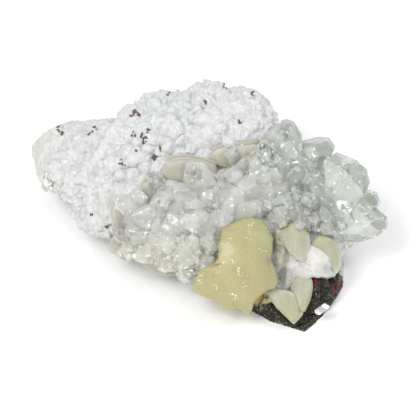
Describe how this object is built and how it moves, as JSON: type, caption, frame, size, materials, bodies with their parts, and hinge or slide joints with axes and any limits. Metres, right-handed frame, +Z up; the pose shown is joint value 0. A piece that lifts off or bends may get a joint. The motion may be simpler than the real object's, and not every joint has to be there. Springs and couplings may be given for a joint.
{
  "type": "mineral specimen",
  "caption": "Hand specimen of clear apophyllite crystals and tan, yellow and pale stilbite fans on a white knobbly zeolite crust over dark basalt.",
  "frame": {"origin": "on the flat underside of the basalt, below the middle of the specimen", "axes": "+X right along the specimen's length, +Y away from the viewer, +Z up; the display face leans back from -Y"},
  "size_m": [0.1084, 0.0816, 0.0374],
  "materials": {
    "crust": "matt white, knobbly, with brown specks",
    "basalt": "dark broken rock with fine glints and rusty patches",
    "apophyllite": "clear to milky crystal with glassy flat faces",
    "stilbite_tan": "pearly tan plates with fine ribs",
    "stilbite_yellow": "waxy, slightly see-through yellow",
    "stilbite_pale": "pearly cream plates with fine ribs"
  },
  "bodies": {
    "root": {"basalt_matrix": "basalt", "white_crust": "crust", "stilbite_sheaf_yellow": "stilbite_yellow", "stilbite_fan_back_left": "stilbite_tan", "stilbite_fan_back_right": "stilbite_tan", "stilbite_fan_left": "stilbite_tan", "stilbite_fan_left_edge": "stilbite_tan", "stilbite_fan_corner": "stilbite_tan", "stilbite_fan_underside": "stilbite_tan", "stilbite_pale_front_left": "stilbite_pale", "stilbite_pale_front_right": "stilbite_pale", "stilbite_pale_middle": "stilbite_pale", "stilbite_pale_right": "stilbite_pale", "apophyllite_druse": "apophyllite", "apophyllite_end_crystal": "apophyllite", "zeolite_chip": "crust"}
  },
  "joints": []
}
